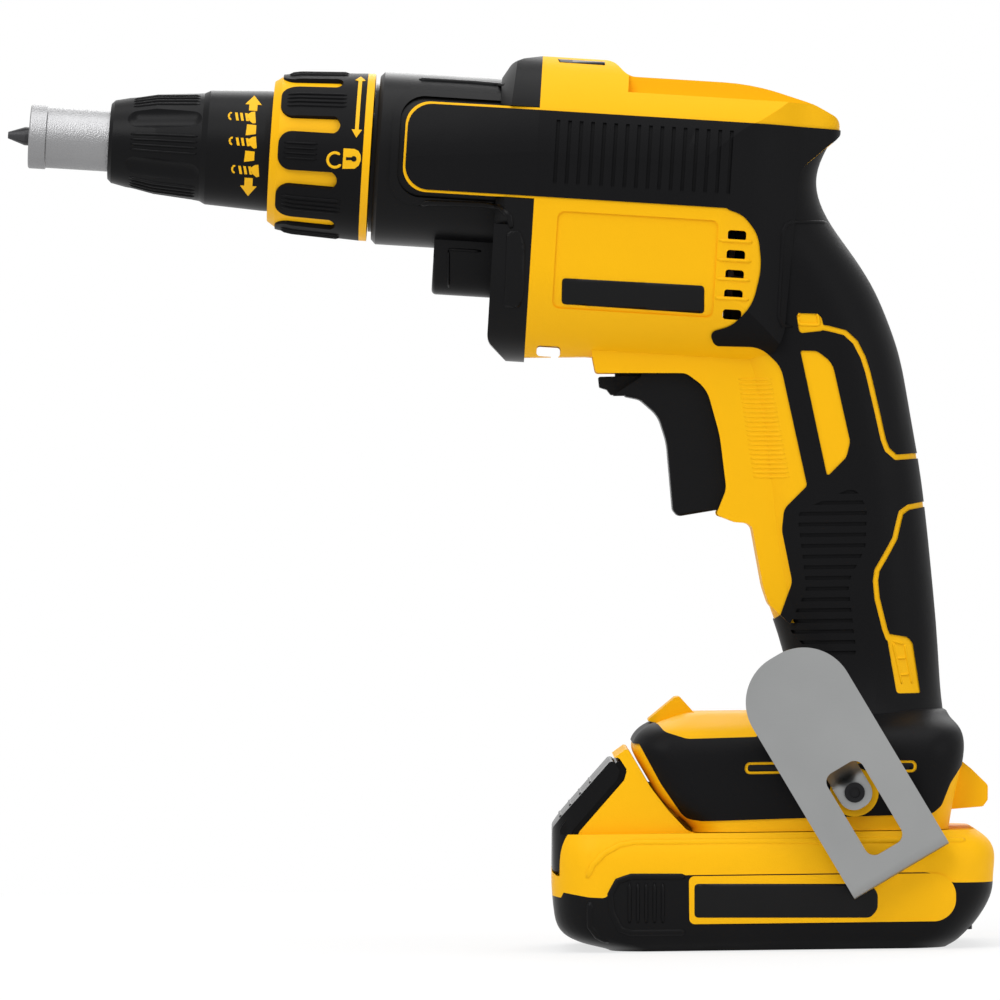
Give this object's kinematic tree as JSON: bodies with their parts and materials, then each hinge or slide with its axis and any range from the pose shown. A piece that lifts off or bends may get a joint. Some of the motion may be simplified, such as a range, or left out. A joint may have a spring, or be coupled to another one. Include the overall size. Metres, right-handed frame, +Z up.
{
  "type": "cordless drywall screwdriver",
  "caption": "Pistol-grip cordless drywall screwdriver with a depth-setting nose, clutch spindle, brushless motor, trigger, belt hook and slide-on battery pack.",
  "frame": {"origin": "middle of the battery pack's flat underside", "axes": "+Z up from the underside, +X from the nose towards the rear, +Y to the tool's right-hand side"},
  "size_m": [0.2628, 0.0834, 0.2404],
  "materials": {
    "yellow_shell": "fine-grained moulded nylon",
    "yellow_ring": "satin moulded nylon",
    "pack_yellow": "fine-grained moulded nylon",
    "frame_yellow": "satin moulded frame",
    "black_grip": "soft overmoulded grip",
    "ring_rubber": "soft overmoulded grip",
    "case_metal": "die casting with a fine black coat",
    "collar_plastic": "satin moulded collar",
    "nose_plastic": "satin moulded sleeve",
    "locator_metal": "bead-blasted",
    "trigger_plastic": "fine-grained moulding",
    "lever_plastic": "fine-grained moulding",
    "button_plastic": "ridged moulding",
    "pack_black": "fine-grained moulding",
    "holder_plastic": "plain moulding",
    "switch_plastic": "plain moulding",
    "module_plastic": "potted tray",
    "fan_plastic": "plain moulding",
    "screw_steel": "black oxide",
    "hook_screw": "black oxide",
    "hook_steel": "satin stamped sheet",
    "gear_steel": "ground and oiled",
    "bearing_steel": "polished races",
    "holder_steel": "turned",
    "bit_steel": "phosphated",
    "spring_steel": "drawn wire",
    "lamination": "stacked sheets",
    "copper_wire": "enamelled copper",
    "circuit_board": "solder mask",
    "contact_metal": "plated strip",
    "strap_metal": "nickel strip",
    "cell_can": "film-wrapped cell",
    "lens": "clear moulding"
  },
  "bodies": {
    "housing": {"housing_left": "yellow_shell", "housing_right": "yellow_shell", "grip_left": "black_grip", "grip_right": "black_grip", "housing_screws": "screw_steel", "gear_case": "case_metal", "gear_cover": "case_metal", "work_light_lens": "lens", "work_light_board": "circuit_board", "spindle_front_bearing": "bearing_steel", "spindle_rear_bearing": "bearing_steel", "motor_front_bearing": "bearing_steel", "motor_rear_bearing": "bearing_steel", "stator": "lamination", "windings": "copper_wire", "sensor_board": "circuit_board", "control_module": "module_plastic", "trigger_switch": "switch_plastic", "terminal_block": "switch_plastic", "terminal_blades": "contact_metal", "belt_hook": "hook_steel", "belt_hook_screw": "hook_screw", "trigger_spring": "spring_steel"},
    "motor_rotor": {"motor_shaft": "gear_steel", "motor_pinion": "gear_steel", "rotor": "lamination", "fan": "fan_plastic"},
    "drive": {"drive_gear": "gear_steel", "clutch_spring": "spring_steel"},
    "output": {"spindle": "gear_steel", "bit_holder": "holder_steel", "driver_bit": "bit_steel"},
    "ring": {"lock_ring": "yellow_ring", "lock_ring_grip": "ring_rubber"},
    "nose_cone": {"nose_sleeve": "nose_plastic"},
    "collar": {"depth_collar": "collar_plastic"},
    "locator": {"nose_locator": "locator_metal"},
    "trigger": {"trigger": "trigger_plastic"},
    "lever": {"reversing_lever": "lever_plastic"},
    "pack": {"pack_upper_case": "pack_yellow", "pack_lower_case": "pack_black", "side_frame_left": "frame_yellow", "side_frame_right": "frame_yellow", "pack_screws": "screw_steel", "cells": "cell_can", "cell_holders": "holder_plastic", "cell_straps": "strap_metal", "pack_board": "circuit_board", "pack_contacts": "contact_metal", "release_spring": "spring_steel"},
    "release": {"release_button": "button_plastic"}
  },
  "joints": [
    {"name": "rotor_spin", "type": "hinge", "parent": "housing", "child": "motor_rotor", "pos_m": [-0.10573, 0, 0.18777], "axis": [0.9973, 0, -0.0741], "continuous": true},
    {"name": "gear_spin", "type": "hinge", "parent": "housing", "child": "drive", "pos_m": [-0.1038, 0, 0.2138], "axis": [0.9973, 0, -0.0741], "continuous": true},
    {"name": "bit_push", "type": "slide", "parent": "drive", "child": "output", "axis": [0.9973, 0, -0.0741], "range_m": [0, 0.003], "stiffness_N_per_m": 1500, "springref_m": -0.002, "deforming": ["clutch_spring"]},
    {"name": "ring_lock", "type": "hinge", "parent": "housing", "child": "ring", "pos_m": [-0.1038, 0, 0.2138], "axis": [0.9973, 0, -0.0741], "range_deg": [0, 30]},
    {"name": "nose_pull", "type": "slide", "parent": "housing", "child": "nose_cone", "axis": [-0.9973, 0, 0.0741], "range_m": [0, 0.095]},
    {"name": "depth_turn", "type": "hinge", "parent": "nose_cone", "child": "collar", "pos_m": [-0.1038, 0, 0.2138], "axis": [0.9973, 0, -0.0741], "range_deg": [-180, 180]},
    {"name": "depth_set", "type": "slide", "parent": "nose_cone", "child": "locator", "axis": [0.9973, 0, -0.0741], "range_m": [-0.0025, 0.0025]},
    {"name": "trigger_pull", "type": "slide", "parent": "housing", "child": "trigger", "axis": [1, 0, 0], "range_m": [0, 0.007], "stiffness_N_per_m": 700, "springref_m": -0.004, "deforming": ["trigger_spring"]},
    {"name": "direction_swing", "type": "hinge", "parent": "housing", "child": "lever", "pos_m": [-0.0225, 0, 0.155], "axis": [0, 0, 1], "range_deg": [-9, 9]},
    {"name": "pack_slide", "type": "slide", "parent": "housing", "child": "pack", "axis": [-1, 0, 0], "range_m": [0, 0.095]},
    {"name": "release_press", "type": "slide", "parent": "pack", "child": "release", "axis": [1, 0, 0], "range_m": [0, 0.0015], "stiffness_N_per_m": 1200, "springref_m": -0.002, "deforming": ["release_spring"]}
  ],
  "couplings": [
    {"joint": "gear_spin", "follows": "rotor_spin", "ratio": -0.26087},
    {"joint": "depth_turn", "follows": "depth_set", "rad_per_m": 1256.6}
  ]
}
